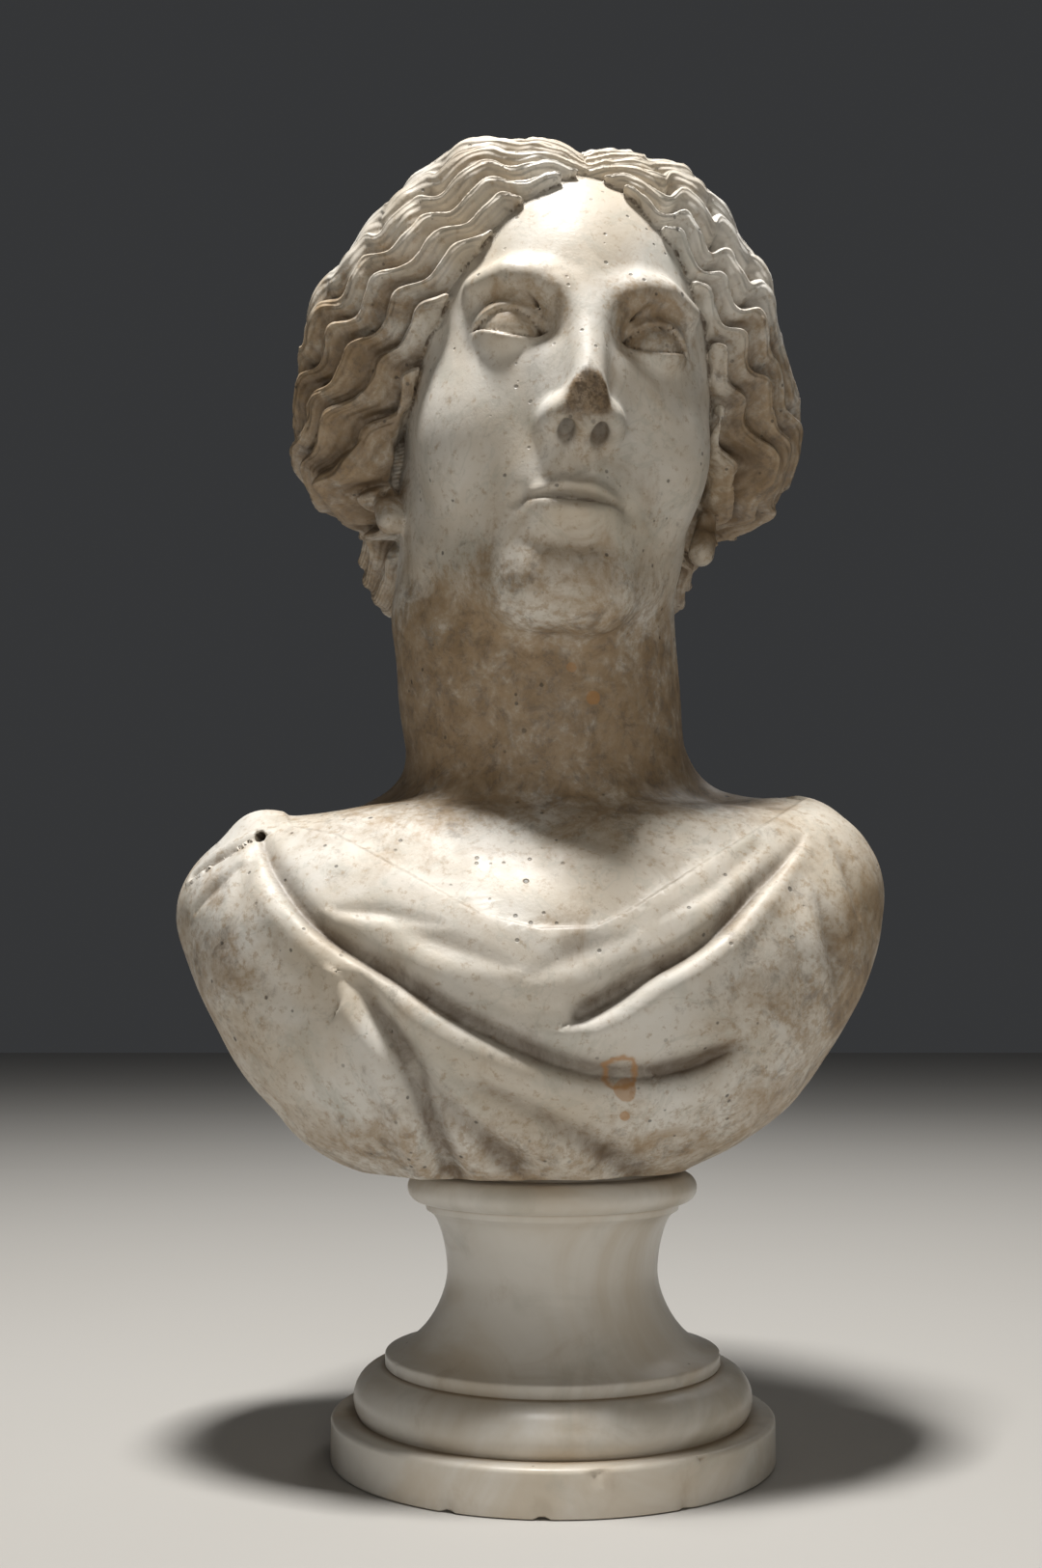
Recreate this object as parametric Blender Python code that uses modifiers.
"""Marble bust of a draped goddess on a turned round socle. Metres, +Z up, the face looks along -Y."""
import math

import bpy
import numpy as np

# Driving sizes of the socle
PLINTH_RADIUS = 0.095
PLINTH_HEIGHT = 0.0185
PLINTH_ARRIS = 0.0022
FOOT_ROLL = 0.012            # radius of the big roll on the plinth
FOOT_ROLL_OUT = 0.0855       # how far the roll reaches from the axis
FOOT_ROLL_LEVEL = 0.0255
FOOT_BAND_RADIUS = 0.0722
FOOT_BAND_TOP = 0.0440
WAIST_RADIUS = 0.0457
WAIST_LEVEL = 0.077
NECK_BAND_RADIUS = 0.0552
NECK_BAND_BOTTOM = 0.1028
TOP_ROLL = 0.006
TOP_ROLL_OUT = 0.0632
TOP_ROLL_LEVEL = 0.1126
SEAT_RADIUS = 0.050
SEAT_STEP = 0.0024           # the seat stands this much above the top roll
SOCLE_STEPS = 40

# The bust rests on the socle with this gap
REST_GAP = 0.0003
SOCLE_HEIGHT = TOP_ROLL_LEVEL + TOP_ROLL + SEAT_STEP
BUST_BOTTOM = SOCLE_HEIGHT + REST_GAP

# The figure is free form: its head's height drives it, and the rest is carved in shares of that
HEAD_HEIGHT = 0.238          # chin to crown
UNIT = HEAD_HEIGHT / 100     # the head is carved in hundredths of its height
MM = HEAD_HEIGHT / 238       # the chest in these
TILT_BACK = math.radians(6)
TURN = math.radians(8)       # to the viewer's right
LEAN = math.radians(4)       # crown to the viewer's right
TRIANGLES = 7500             # of the finished bust
FACE_SPARED = 0.9            # how much of the thinning passes the face by
FACE_WEIGHT = 0.003

MARBLE = (0.66, 0.60, 0.50)
SOCLE_MARBLE = (0.70, 0.64, 0.56)


def clear_scene():
    for thing in list(bpy.data.objects):
        bpy.data.objects.remove(thing)


def collection(name):
    made = bpy.data.collections.new(name)
    bpy.context.scene.collection.children.link(made)
    return made


def material(name, colour, roughness):
    made = bpy.data.materials.new(name)
    made.use_nodes = True
    shader = made.node_tree.nodes["Principled BSDF"]
    shader.inputs["Base Color"].default_value = (*colour, 1)
    shader.inputs["Roughness"].default_value = roughness
    shader.inputs["Metallic"].default_value = 0.0
    return made


def at(x, y, z):
    """A place on the figure: across, back and above the seat."""
    return np.array((x * MM, y * MM, z * MM + BUST_BOTTOM))


def sizes(*values):
    return np.array(values) * MM


# Solids as distances: below zero is inside the stone


def smooth_min(a, b, blend):
    h = np.clip(0.5 + 0.5 * (b - a) / blend, 0, 1)
    return b + (a - b) * h - blend * h * (1 - h)


def egg(centre, radii):
    centre = np.array(centre, float)
    radii = np.array(radii, float)

    def distance(p):
        q = (p - centre) / radii
        length = np.sqrt((q * q).sum(1))
        slope = np.sqrt(((q / radii) ** 2).sum(1))
        return length * (length - 1) / np.maximum(slope, 1e-9)

    return centre, radii.max(), distance


def rod(points, radii):
    points = np.array(points, float)
    centre = (points.min(0) + points.max(0)) / 2
    reach = np.sqrt(((points - centre) ** 2).sum(1)).max() + max(radii)

    def distance(p):
        out = np.full(len(p), 1e9)
        for a, b, ra, rb in zip(points[:-1], points[1:], radii[:-1], radii[1:]):
            t = np.clip((p - a) @ (b - a) / ((b - a) @ (b - a)), 0, 1)
            gap = p - a - t[:, None] * (b - a)
            out = np.minimum(out, np.sqrt((gap * gap).sum(1)) - ra - (rb - ra) * t)
        return out

    return centre, reach, distance


class Form:
    """A solid being built up: the distance of every point from its surface."""

    def __init__(self, points, distance, margin):
        self.p = points
        self.d = distance
        self.margin = margin

    def near(self, centre, reach, blend):
        gap = np.sqrt(((self.p - centre) ** 2).sum(1)) - reach
        return np.flatnonzero(gap < blend + self.margin)

    def add(self, shape, blend):
        centre, reach, distance = shape
        i = self.near(centre, reach, blend)
        self.d[i] = smooth_min(self.d[i], distance(self.p[i]), blend)

    def cut(self, shape, blend):
        centre, reach, distance = shape
        i = self.near(centre, reach, blend)
        self.d[i] = -smooth_min(-self.d[i], distance(self.p[i]), blend)


# Head: x to the viewer's right, y back, z up, from the chin, in hundredths of its height


def head_axes():
    cb, sb = math.cos(TILT_BACK), math.sin(TILT_BACK)
    ct, st = math.cos(TURN), math.sin(TURN)
    cl, sl = math.cos(LEAN), math.sin(LEAN)
    back = np.array(((1, 0, 0), (0, cb, sb), (0, -sb, cb)))
    turn = np.array(((ct, -st, 0), (st, ct, 0), (0, 0, 1)))
    lean = np.array(((cl, 0, sl), (0, 1, 0), (-sl, 0, cl)))
    return lean @ turn @ back


HEAD_AXES = head_axes()
CHIN_AT = at(-6.5, -12, 220.2)


def to_head(p):
    return (p - CHIN_AT) @ HEAD_AXES / UNIT


def from_head(q):
    return np.array(q, float) * UNIT @ HEAD_AXES.T + CHIN_AT


def both_sides(q):
    """The viewer's left half of the head is carved like the right; the seam is rounded off."""
    return np.stack([np.sqrt(q[:, 0] ** 2 + 0.6), q[:, 1], q[:, 2]], 1)


EYE = (12.8, -32.3, 50.0)
EYE_RADIUS = 5.5


def skull_and_jaw(q):
    f = Form(q, egg((0, 2, 61), (31, 41.5, 38))[2](q), 3)
    f.add(egg((0, -11.5, 44), (25.8, 27.5, 42)), 9)
    f.add(egg((0, -27, 7), (7.8, 7.6, 6.6)), 7)
    f.add(rod(((23, 2, 32), (18, -10, 17), (7, -24, 7)), (4, 5, 5.5)), 10)
    f.add(egg((15.5, -22, 34), (9.5, 10.5, 12)), 9)
    f.add(egg((0, -27.6, 20.5), (11.5, 8.6, 10)), 8)
    return f


def brow_and_eyes(f):
    f.cut(egg((12.6, -42.6, 50.8), (8.6, 8, 5.4)), 5)
    f.cut(egg((6.8, -42.6, 50.5), (2.8, 4.4, 4.6)), 3)
    arch = ((3.2, -38.6, 52), (5.4, -38.9, 55.6), (9.5, -38.7, 58.2), (14.5, -37, 59.2), (19.5, -33.4, 58))
    f.add(rod(arch, (2.2, 2.2, 2, 1.9, 1.4)), 5)
    f.add(egg(EYE, (EYE_RADIUS + 0.5,) * 3), 1.6)


def nose(f):
    f.add(egg((0, -35.6, 38.5), (7, 6, 12)), 4.5)
    # the bridge ends short: the tip is broken off
    bridge = ((0, -36.6, 60), (0, -39.4, 53), (0, -41.6, 44), (0, -42.6, 35.5))
    f.add(rod(bridge, (2.4, 2.6, 2.8, 3.2)), 3.2)
    f.add(egg((0, -42.3, 33), (4, 3.3, 3.7)), 2.5)
    f.add(egg((4.6, -38.8, 32), (3, 4.2, 3.4)), 2.4)


def mouth(f):
    upper_lip = ((8.2, -33.2, 19.4), (5.4, -35.5, 20.3), (2.2, -37.2, 21.2), (0, -37.3, 20.8))
    f.add(rod(upper_lip, (0.7, 1.5, 1.9, 1.8)), 1.4)
    lower_lip = ((7.6, -33.4, 18.4), (4.4, -35.8, 17), (0, -36.9, 16.3))
    f.add(rod(lower_lip, (0.8, 2, 2.3)), 1.4)
    between = ((9, -34, 19.3), (6, -36.6, 18.8), (3, -38.8, 19), (0, -39.5, 18.6))
    f.cut(rod(between, (0.6, 0.8, 0.8, 0.8)), 0.8)
    f.cut(rod(((0, -37.4, 12), (5, -36, 12.4)), (1.8, 1.2)), 3.4)


def face(q):
    f = skull_and_jaw(both_sides(q))
    brow_and_eyes(f)
    nose(f)
    mouth(f)
    f.add(rod(((30, -4, 25), (31, -3, 28), (32.8, 0.5, 32)), (2.3, 2, 1.6)), 0.5)
    return f.d


# Hair: locks run from the parting to a point behind each ear, in waves

SKULL_MIDDLE = np.array((0, 4.0, 60.0))
LOCKS_MEET = np.array((18.0, 40.0, 38.0))
LOCK_ANGLE = math.radians(9)
LOCK_CREST = 0.7             # place of the highest line across a lock
WAVE_LENGTH = 11.5
HAIRLINE_HEIGHT = (-20, 18, 30, 40, 50, 60, 70, 77, 82, 85, 90)
HAIRLINE_HALF_WIDTH = (33.5, 33, 31.5, 29.5, 27, 23.3, 17, 10.5, 4.5, 0, -8)
KNOT = np.array((0, 44.0, 36.0))


def ridge(x, power):
    """Round-backed strands with narrow channels between them, one for each whole number."""
    return np.clip(1 - (2 * (x - np.floor(x)) - 1) ** 2, 0, 1) ** power


def shingle(x):
    """Locks that swell slowly from their lower edge and drop steeply behind their upper one."""
    u = x - np.floor(x)
    swell = np.sin(0.5 * math.pi * np.clip(u / LOCK_CREST, 0, 1)) ** 1.5
    drop = np.cos(0.5 * math.pi * np.clip((u - LOCK_CREST) / (1 - LOCK_CREST), 0, 1)) ** 0.8
    return np.where(u < LOCK_CREST, swell, drop)


def ripple(p, size, seed):
    """A gentle unevenness, the same on every run."""
    rng = np.random.default_rng(seed)
    out = np.zeros(len(p))
    for _ in range(5):
        way = rng.normal(size=3)
        way /= np.sqrt(way @ way)
        out += np.sin(p @ way * (2 * math.pi / size) * rng.uniform(0.7, 1.4) + rng.uniform(0, 6.28))
    return out / math.sqrt(5)


def lock_ways(q):
    """Arc from where the locks meet, and the angle round that point from the face."""
    axis = LOCKS_MEET - SKULL_MIDDLE
    axis = axis / np.sqrt(axis @ axis)
    front = np.array((0, -1.0, 0)) + axis * axis[1]
    front /= np.sqrt(front @ front)
    up = np.cross(front, axis)
    up *= math.copysign(1, up[2])
    v = q - SKULL_MIDDLE
    arc = np.arccos(np.clip(v @ axis / np.maximum(np.sqrt((v * v).sum(1)), 1e-6), -1, 1))
    return arc, np.arctan2(v @ up, v @ front)


def bump(q, centre, size):
    return np.exp(-(np.sqrt(((q - centre) ** 2).sum(1)) / size) ** 4)


def locks(q, side):
    """Height of the carved locks."""
    shift = 40 * (side[:, None] < 0)
    arc, angle = lock_ways(q)
    uneven = ripple(q + shift, 38, 5)
    wave = arc * 42 / WAVE_LENGTH * 2 * math.pi + 0.9 * angle + 0.9 * uneven + 0.9 * (side < 0)
    off_parting = np.clip((np.abs(q[:, 0]) - 2) / 8, 0, 1)
    swing = (1.15 + 0.3 * uneven) / np.maximum(42 * np.sin(arc), 9) * off_parting
    lock = (angle + swing * (np.sin(wave) + 0.25 * np.sin(2 * wave + 0.6)) + 0.04 * uneven) / LOCK_ANGLE
    at_side = bump(q, np.array((38, 0, 42.0)), 30)
    bold = np.maximum(np.clip((-7 - q[:, 1]) / 14, 0, 1), at_side)
    bold = bold * bold * (3 - 2 * bold)
    # towards the ears the locks join in pairs
    pair = shingle(lock / 2 + 0.2 * np.sin(0.5 * wave + uneven))
    back = (1 - at_side) * shingle(lock) + at_side * (0.7 * pair + 0.3 * shingle(lock))
    height = (0.35 + 2.1 * bold + 1.2 * at_side) * (back - 0.75)
    return height + (0.1 + 0.3 * bold) * np.sin(wave + 1.4 + lock * 0.5)


def knot_coil(q):
    turn = np.arctan2(q[:, 2] - KNOT[2], q[:, 0]) / math.pi
    return ridge(np.hypot(q[:, 0], q[:, 2] - KNOT[2]) / 4.6 + turn, 0.6) - 0.8


def hair(q):
    """Distance to the hair."""
    whole = q
    side = np.sign(q[:, 0])
    q = both_sides(q)
    f = Form(q, egg((0, 4, 63), (38, 43.5, 42))[2](q), 3)
    f.add(egg((16, 3, 80), (19, 34, 22)), 6)
    f.add(egg((31, -2, 65), (12.5, 21, 20)), 12)
    f.add(egg((36.5, 4, 47), (13, 18, 14.5)), 8)
    f.add(egg((20, 18, 34), (14, 16, 14)), 8)
    f.add(egg((18, 27, 27), (15, 14, 13)), 8)
    f.add(egg((0, 40, 36), (16, 13, 14)), 6)
    # the two sides are not carved alike
    f = Form(whole, f.d, 3)
    f.add(egg((-39, -1, 62), (10, 14, 13)), 6)
    f.add(egg((-36, 4, 36), (10, 13, 8)), 6)
    f.add(egg((40.5, 3, 57), (9, 14, 9)), 6)
    f.cut(egg((44, 0, 30), (10, 16, 6)), 5)
    knot = bump(q, KNOT, 15)
    parting = 1.6 * np.exp(-(q[:, 0] / 2.2) ** 2) * np.clip((60 - q[:, 1]) / 30, 0, 1) * (q[:, 2] > 60)
    d = f.d - locks(q, side) * (1 - knot) - knot_coil(q) * knot + parting
    half_width = np.interp(q[:, 2], HAIRLINE_HEIGHT, HAIRLINE_HALF_WIDTH)
    opening = np.maximum((q[:, 0] - half_width) * 0.8, q[:, 1] + 1)
    return -smooth_min(-d, opening, 2.2)


# Chest: half widths to each side and depths to front and back at each height above the seat, in mm

CHEST_HEIGHT = np.array((-5, 1, 9, 27, 47, 67, 88, 108, 124, 137, 149, 158)) * MM + BUST_BOTTOM
CHEST_LEFT = np.array((68, 87, 103, 121, 137, 148, 157, 162, 158, 144, 122, 92)) * MM
CHEST_RIGHT = np.array((50, 60, 76, 101, 116, 129, 138, 141, 140, 134, 120, 94)) * MM
CHEST_FRONT = np.array((60, 68, 77, 90, 99, 103, 102, 96, 86, 76, 66, 56)) * MM
CHEST_BACK = np.array((52, 57, 62, 72, 80, 84, 86, 84, 80, 74, 66, 56)) * MM
CHEST_SQUARENESS = 2.3


def through(z, heights, values):
    """A smooth curve through the values."""
    slope = np.gradient(values, heights)
    i = np.clip(np.searchsorted(heights, z) - 1, 0, len(heights) - 2)
    step = heights[i + 1] - heights[i]
    t = np.clip((z - heights[i]) / step, 0, 1)
    ends = (2 * t ** 3 - 3 * t ** 2 + 1) * values[i] + (3 * t ** 2 - 2 * t ** 3) * values[i + 1]
    return ends + ((t ** 3 - 2 * t ** 2 + t) * slope[i] + (t ** 3 - t ** 2) * slope[i + 1]) * step


def chest(p):
    z = np.clip(p[:, 2], CHEST_HEIGHT[0], CHEST_HEIGHT[-1])
    left, right = (through(z, CHEST_HEIGHT, side) for side in (CHEST_LEFT, CHEST_RIGHT))
    front, back = (through(z, CHEST_HEIGHT, side) for side in (CHEST_FRONT, CHEST_BACK))
    wide = (left + right) / 2
    deep = (front + back) / 2
    x = np.abs(p[:, 0] - (right - left) / 2) / wide
    y = np.abs(p[:, 1] - (back - front) / 2 - 4 * MM) / deep
    n = CHEST_SQUARENESS
    size = np.maximum((x ** n + y ** n) ** (1 / n), 1e-6)
    slope = np.hypot((x / size) ** (n - 1) / wide, (y / size) ** (n - 1) / deep)
    return -smooth_min(-(size - 1) / np.maximum(slope, 1), CHEST_HEIGHT[-1] - p[:, 2], 20 * MM)


def torso(p):
    """Chest, shoulders and neck before the cloth."""
    f = Form(p, chest(p), 20 * MM)
    f.add(egg(at(-122, 4, 118.7), sizes(32, 50, 32)), 20 * MM)
    f.add(egg(at(108, 4, 123.7), sizes(34, 50, 38)), 20 * MM)
    f.add(rod((at(-34, 36, 167), at(-100, 22, 129)), sizes(24, 18)), 16 * MM)
    f.add(rod((at(32, 36, 169), at(95, 22, 137)), sizes(24, 18)), 16 * MM)
    neck = (at(0, 22, 119), at(-1, 17, 179), at(-8.5, 5, 244), at(-8, 0, 289))
    f.add(rod(neck, sizes(66, 64, 65, 60)), 18 * MM)
    return f.d


def curve_through(points, steps=8):
    points = np.array(points, float)
    points = np.vstack([2 * points[0] - points[1], points, 2 * points[-1] - points[-2]])
    out = []
    for a, b, c, d in zip(points[:-3], points[1:-2], points[2:-1], points[3:]):
        for t in np.arange(steps) / steps:
            bend = (2 * a - 5 * b + 4 * c - d) * t * t + (3 * b - a - 3 * c + d) * t ** 3
            out.append(0.5 * (2 * b + (c - a) * t + bend))
    return np.array(out + [points[-2]])


def front_of_torso(x, z):
    near = np.full(len(x), -160 * MM)
    far = np.zeros(len(x))
    for _ in range(18):
        middle = (near + far) / 2
        inside = torso(np.stack([x, middle, z], 1)) < 0
        far = np.where(inside, middle, far)
        near = np.where(inside, near, middle)
    return middle


class Fold:
    """A furrow in the cloth with a rolled lip below it, along a curve on the front of the chest."""

    def __init__(self, points, width, lip, steep):
        line = curve_through(points)
        x = line[:, 0] * MM
        z = line[:, 1] * MM + BUST_BOTTOM
        self.depth = np.clip(line[:, 2], 0, None) * MM
        self.width = width * MM
        self.lip = lip
        self.steep = steep
        self.line = np.stack([x, front_of_torso(x, z), z], 1)
        step = MM * np.eye(3)
        lean = np.stack([torso(self.line + s) - torso(self.line - s) for s in step], 1)
        self.out = lean / np.sqrt((lean * lean).sum(1))[:, None]

    def relief(self, p):
        reach = 4 * self.width + 4 * MM
        close = (p > self.line.min(0) - reach) & (p < self.line.max(0) + reach)
        i = np.flatnonzero(close.all(1))
        best = np.full(len(i), 1e9)
        above = np.zeros(len(i))
        depth = np.zeros(len(i))
        for k in range(len(self.line) - 1):
            a, ab = self.line[k], self.line[k + 1] - self.line[k]
            q = p[i] - a
            t = np.clip(q @ ab / (ab @ ab), 0, 1)
            gap = q - t[:, None] * ab
            gap -= (gap @ self.out[k])[:, None] * self.out[k]
            far = np.sqrt((gap * gap).sum(1))
            nearer = far < best
            best = np.where(nearer, far, best)
            above = np.where(nearer, np.sign(ab[0] * q[:, 2] - ab[2] * q[:, 0]), above)
            depth = np.where(nearer, self.depth[k] * (1 - t) + self.depth[k + 1] * t, depth)
        width = self.width * np.sqrt(np.clip(depth / self.depth.max(), 0.3, 1))
        side = best * above
        furrow = np.exp(-(side / np.where(side > 0, width, width * self.steep)) ** 2)
        lip = np.exp(-((side / width + self.steep + 1.1) / 1.0) ** 2)
        out = np.zeros(len(p))
        out[i] = depth * (self.lip * lip - furrow)
        return out


def folds():
    """Each fold: points across, above the seat, and deep, then its width, lip and steepness."""
    return (
        # from the clasp across the chest
        Fold(((-122, 137, 2), (-114, 122, 4), (-95, 100, 4.5), (-60, 78, 5), (-32, 61, 5.5), (4, 45, 5.5),
              (30, 41, 5), (51, 44, 6), (66, 50, 4.5), (78, 57, 0)), 6.5, 0.4, 0.45),
        # pocket on the viewer's right
        Fold(((6, 63, 2), (11, 66, 6), (22, 72, 7), (36, 81, 6), (51, 89, 5), (65, 99, 5), (81, 115, 4.5),
              (93, 126, 2.5), (103, 137, 1)), 5.5, 0.45, 0.5),
        # fold with a round head, low on the viewer's left
        Fold(((-82, 80, 1.5), (-76, 76, 4), (-69, 66, 5), (-62, 55, 5), (-55, 39, 5.5), (-47, 19, 6),
              (-42, 3, 6.5)), 7, 0.5, 0.75),
        Fold(((-56, 51, 0.5), (-44, 36, 1.5), (-32, 22, 3), (-18, 7, 5)), 8, 0.5, 0.7),
        Fold(((-40, 43, 0.5), (-22, 36, 2), (0, 23, 3), (20, 10, 4), (32, 1, 4.5)), 8, 0.7, 0.7),
        # gathers at the clasp
        Fold(((-128, 139, 3), (-140, 131, 3), (-152, 123, 1.5)), 3.5, 0.5, 0.7),
        Fold(((-130, 125, 1.2), (-141, 116, 1.8), (-148, 108, 0.5)), 3.5, 0.5, 0.7),
        # soft creases of the upper cloth and of the right shoulder
        Fold(((-62, 101, 0.4), (-45, 94, 1.5), (-20, 85, 0.5)), 5, 0.6, 0.8),
        Fold(((-8, 82, 0.4), (8, 90, 1.4), (27, 96, 0.5)), 5, 0.6, 0.8),
        Fold(((108, 111, 0.6), (113, 91, 2), (116, 75, 0.6)), 6, 0.6, 0.8),
    )


NECKLINE_ACROSS = np.array((-125, -111, -90, -60, -29, -6, 15, 31, 62, 89, 104, 125)) * MM
NECKLINE_FRONT = sizes(163, 145.5, 140, 123, 105, 99.5, 100, 108, 128, 145, 155, 169) + BUST_BOTTOM
NECKLINE_BACK = sizes(163, 160, 157, 150, 144, 141, 142, 144, 152, 158, 162, 168) + BUST_BOTTOM
CLOTH_THICKNESS = 1.8 * MM
NECK_CLEAR = 66 * MM
NECK_AXIS = sizes(-5, 10)
HEAD_LOWEST = 179 * MM + BUST_BOTTOM


def cloth(p, carved_folds):
    """Height of the cloth and its folds over the torso."""
    out = sum(fold.relief(p) for fold in carved_folds)
    line = np.where(p[:, 1] < 0, np.interp(p[:, 0], NECKLINE_ACROSS, NECKLINE_FRONT),
                    np.interp(p[:, 0], NECKLINE_ACROSS, NECKLINE_BACK))
    below = np.clip((line - p[:, 2]) / CLOTH_THICKNESS + 0.5, 0, 1)
    from_neck = np.hypot(p[:, 0] - NECK_AXIS[0], p[:, 1] - NECK_AXIS[1])
    return out + CLOTH_THICKNESS * below * (from_neck > NECK_CLEAR)


def figure(p, carved_folds):
    """The whole bust."""
    f = Form(p, torso(p), 20 * MM)
    f.add(egg(at(-126, -12, 141), sizes(15, 20, 12.5)), 6 * MM)
    d = f.d - cloth(p, carved_folds)
    i = np.flatnonzero(p[:, 2] > HEAD_LOWEST)
    q = to_head(p[i])
    head = smooth_min(face(q) * UNIT, d[i], 10 * MM)
    d[i] = smooth_min(head, hair(q) * UNIT, 1.2 * MM)
    return d


# Carving a mesh to the form


def ball(centre, radii, kept):
    bpy.ops.mesh.primitive_uv_sphere_add(segments=48, ring_count=24, radius=1, location=centre)
    made = bpy.context.object
    made.scale = radii
    kept.append(made)


HEAD_BALLS = (
    ((0, 4, 63), (38, 44, 42)),
    ((36, 3, 47), (15, 19, 19)),
    ((-36, 3, 47), (15, 19, 19)),
    ((0, -14, 38), (27, 27, 37)),
    ((0, -36.5, 38), (5, 8, 10)),
    ((0, 32, 32), (29, 21, 18)),
)
CHEST_BALLS = (
    ((-3, 10, 190), (64, 64, 110)),
    ((-11, 0, 93), (150, 88, 70)),
    ((-8, 0, 40), (105, 75, 52)),
)


def rough_block():
    """Overlapping balls a little smaller than the figure, joined in one mesh."""
    kept = []
    for centre, radii in HEAD_BALLS:
        ball(from_head(centre), [UNIT * r for r in radii], kept)
    for centre, radii in CHEST_BALLS:
        ball(at(*centre), sizes(*radii), kept)
    for thing in kept:
        thing.select_set(True)
    bpy.context.view_layer.objects.active = kept[0]
    bpy.ops.object.transform_apply(location=True, rotation=True, scale=True)
    bpy.ops.object.join()
    return bpy.context.object


def use_modifiers(thing):
    graph = bpy.context.evaluated_depsgraph_get()
    mesh = bpy.data.meshes.new_from_object(thing.evaluated_get(graph))
    thing.modifiers.clear()
    thing.data = mesh


def remesh(thing, grid):
    modifier = thing.modifiers.new("Remesh", "REMESH")
    modifier.mode = "VOXEL"
    modifier.voxel_size = grid
    use_modifiers(thing)


def beside(ends, values):
    """The sum of each point's neighbours' values."""
    count = len(values)
    return (np.bincount(ends[:, 0], values[ends[:, 1]], count)
            + np.bincount(ends[:, 1], values[ends[:, 0]], count))


FEELER = 0.1 * MM            # how far apart the form is felt to find which way is out


def carve(thing, form, rounds, furthest):
    """Move every point of the mesh to the form's surface, and keep the points evenly spaced."""
    mesh = thing.data
    count = len(mesh.vertices)
    ends = np.empty(len(mesh.edges) * 2, np.int32)
    mesh.edges.foreach_get("vertices", ends)
    ends = ends.reshape(-1, 2)
    neighbours = np.bincount(ends.ravel(), minlength=count)[:, None]
    co = np.empty(count * 3, np.float32)
    mesh.vertices.foreach_get("co", co)
    co = co.reshape(-1, 3).astype(float)
    for k in range(rounds):
        d = form(co)
        out = np.stack([form(co + FEELER * axis) - d for axis in np.eye(3)], 1) / FEELER
        slope = np.maximum(np.sqrt((out * out).sum(1)), 1e-6)[:, None]
        out /= slope
        co -= out * np.clip(d[:, None] / np.maximum(slope, 0.5), -furthest, furthest) * 0.9
        if k < rounds - 2:
            slide = np.stack([beside(ends, co[:, axis]) for axis in range(3)], 1) / neighbours - co
            co += 0.5 * (slide - out * (slide * out).sum(1)[:, None])
    mesh.vertices.foreach_set("co", co.astype(np.float32).ravel())
    mesh.update()


CUTTER_WIDTH = 600 * MM
CUTTER_DEPTH = 50 * MM


def trim_seat(bust, cutters):
    """Cut the underside flat where it rests on the socle."""
    bpy.ops.mesh.primitive_cube_add(size=1, location=(0, 0, BUST_BOTTOM - CUTTER_DEPTH / 2))
    cutter = bpy.context.object
    cutter.name = "seat_cutter"
    cutter.scale = (CUTTER_WIDTH, CUTTER_WIDTH, CUTTER_DEPTH)
    cutter.hide_render = True
    cutter.display_type = "WIRE"
    move_to(cutter, cutters)
    modifier = bust.modifiers.new("Seat", "BOOLEAN")
    modifier.operation = "DIFFERENCE"
    modifier.solver = "EXACT"
    modifier.object = cutter


def move_to(thing, group):
    for old in list(thing.users_collection):
        old.objects.unlink(thing)
    group.objects.link(thing)


def face_group(bust):
    """The face's points, which are thinned out less than the rest."""
    co = np.array([v.co for v in bust.data.vertices])
    q = to_head(co)
    in_face = (q[:, 1] < -22) & (q[:, 2] > 0) & (q[:, 2] < 64) & (np.abs(q[:, 0]) < 22)
    group = bust.vertex_groups.new(name="face")
    group.add(np.flatnonzero(in_face).tolist(), FACE_SPARED, "REPLACE")
    return group.name


def make_bust(group, cutters):
    carved_folds = folds()
    bust = rough_block()
    bust.name = "bust"
    # ever finer grids, and the rounds of carving on each
    for grid, rounds in ((5 * MM, 8), (3.5 * MM, 5), (2.6 * MM, 5)):
        remesh(bust, grid)
        carve(bust, lambda p: figure(p, carved_folds), rounds, grid)
    bust.data.shade_smooth()
    bust.data.materials.clear()
    bust.data.materials.append(material("patinated marble", MARBLE, 0.55))
    fewer = bust.modifiers.new("Fewer faces", "DECIMATE")
    fewer.ratio = TRIANGLES / (2 * len(bust.data.polygons))
    fewer.vertex_group = face_group(bust)
    fewer.invert_vertex_group = True
    fewer.vertex_group_factor = FACE_WEIGHT
    trim_seat(bust, cutters)
    move_to(bust, group)
    return bust


# Socle


def arc(centre_out, level, radius, start, end, steps):
    """Points of a round stretch of the profile; zero degrees points outwards, 90 up."""
    angles = np.radians(np.linspace(start, end, steps + 1))
    return [(centre_out + radius * math.cos(a), level + radius * math.sin(a)) for a in angles]


def hollow(out_low, level_low, out_high, level_high, steps):
    """The waist: from the lip at level_low in to the narrow radius at level_high."""
    power = 1.7
    points = []
    for t in np.linspace(1, 0, steps + 1):
        flare = 1 - (1 - t ** power) ** (1 / power)
        points.append((out_high + (out_low - out_high) * flare, level_high + (level_low - level_high) * t))
    return points


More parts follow.
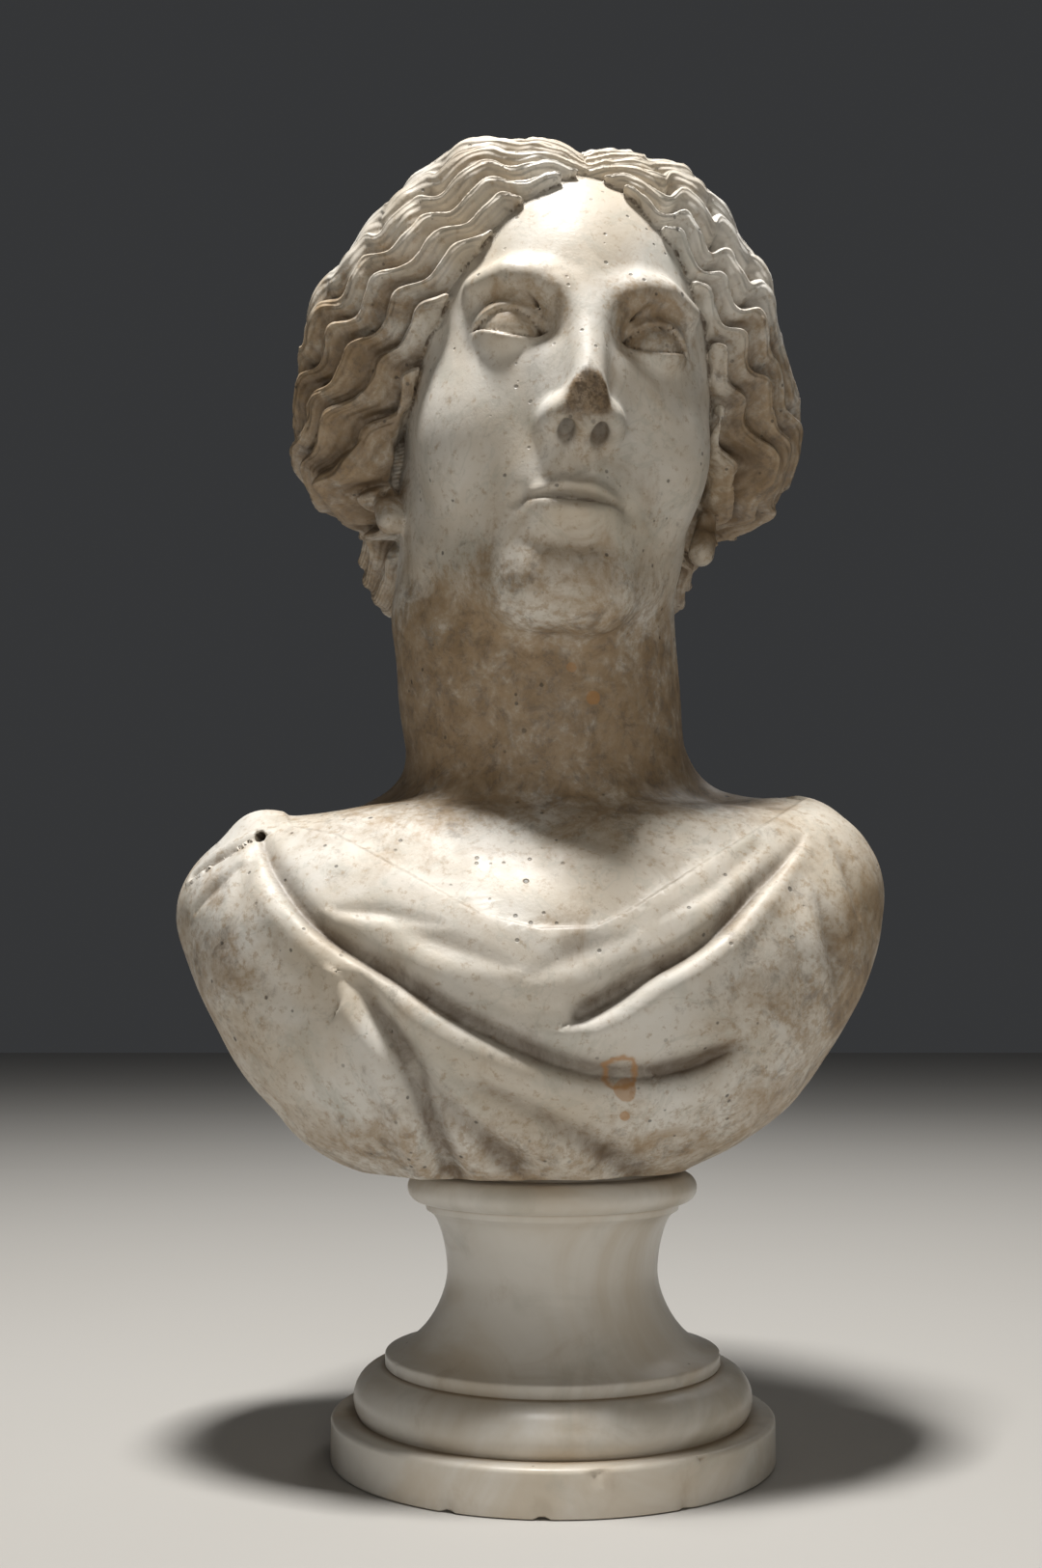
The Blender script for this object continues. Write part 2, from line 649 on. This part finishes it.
def socle_profile():
    """Down the outer side, from the middle of the top to the middle of the underside."""
    foot_middle = FOOT_ROLL_OUT - FOOT_ROLL
    roll_top = FOOT_ROLL_LEVEL + math.sqrt(FOOT_ROLL ** 2 - (FOOT_BAND_RADIUS - foot_middle) ** 2)
    top_level = TOP_ROLL_LEVEL + TOP_ROLL
    points = [(0, SOCLE_HEIGHT), (SEAT_RADIUS, SOCLE_HEIGHT), (SEAT_RADIUS, top_level)]
    points += arc(TOP_ROLL_OUT - TOP_ROLL, TOP_ROLL_LEVEL, TOP_ROLL, 90, -90, 4)
    points += [(NECK_BAND_RADIUS, TOP_ROLL_LEVEL - TOP_ROLL), (NECK_BAND_RADIUS, NECK_BAND_BOTTOM)]
    points += hollow(NECK_BAND_RADIUS - 0.0006, NECK_BAND_BOTTOM, WAIST_RADIUS, WAIST_LEVEL, 3)
    points += hollow(FOOT_BAND_RADIUS - 0.0012, FOOT_BAND_TOP, WAIST_RADIUS, WAIST_LEVEL, 5)[-2::-1]
    points += [(FOOT_BAND_RADIUS, FOOT_BAND_TOP - 0.001), (FOOT_BAND_RADIUS, roll_top)]
    roll_bottom = math.degrees(math.asin((PLINTH_HEIGHT - FOOT_ROLL_LEVEL) / FOOT_ROLL))
    points += arc(foot_middle, FOOT_ROLL_LEVEL, FOOT_ROLL, 80, roll_bottom, 4)
    points += arc(PLINTH_RADIUS - PLINTH_ARRIS, PLINTH_HEIGHT - PLINTH_ARRIS, PLINTH_ARRIS, 90, 0, 2)
    points += [(PLINTH_RADIUS, PLINTH_ARRIS / 2), (PLINTH_RADIUS - PLINTH_ARRIS / 2, 0), (0, 0)]
    return points


def make_socle(group):
    profile = socle_profile()
    mesh = bpy.data.meshes.new("socle")
    mesh.from_pydata([(x, 0, z) for x, z in profile], [(i, i + 1) for i in range(len(profile) - 1)], [])
    socle = bpy.data.objects.new("socle", mesh)
    group.objects.link(socle)
    mesh.materials.append(material("polished marble", SOCLE_MARBLE, 0.4))
    turn = socle.modifiers.new("Turn", "SCREW")
    turn.steps = SOCLE_STEPS
    turn.render_steps = SOCLE_STEPS
    turn.use_merge_vertices = True
    turn.merge_threshold = 0.00001
    turn.use_smooth_shade = True
    return socle


def main():
    clear_scene()
    group = collection("marble bust")
    cutters = collection("cutters")
    make_bust(group, cutters)
    make_socle(group)


main()
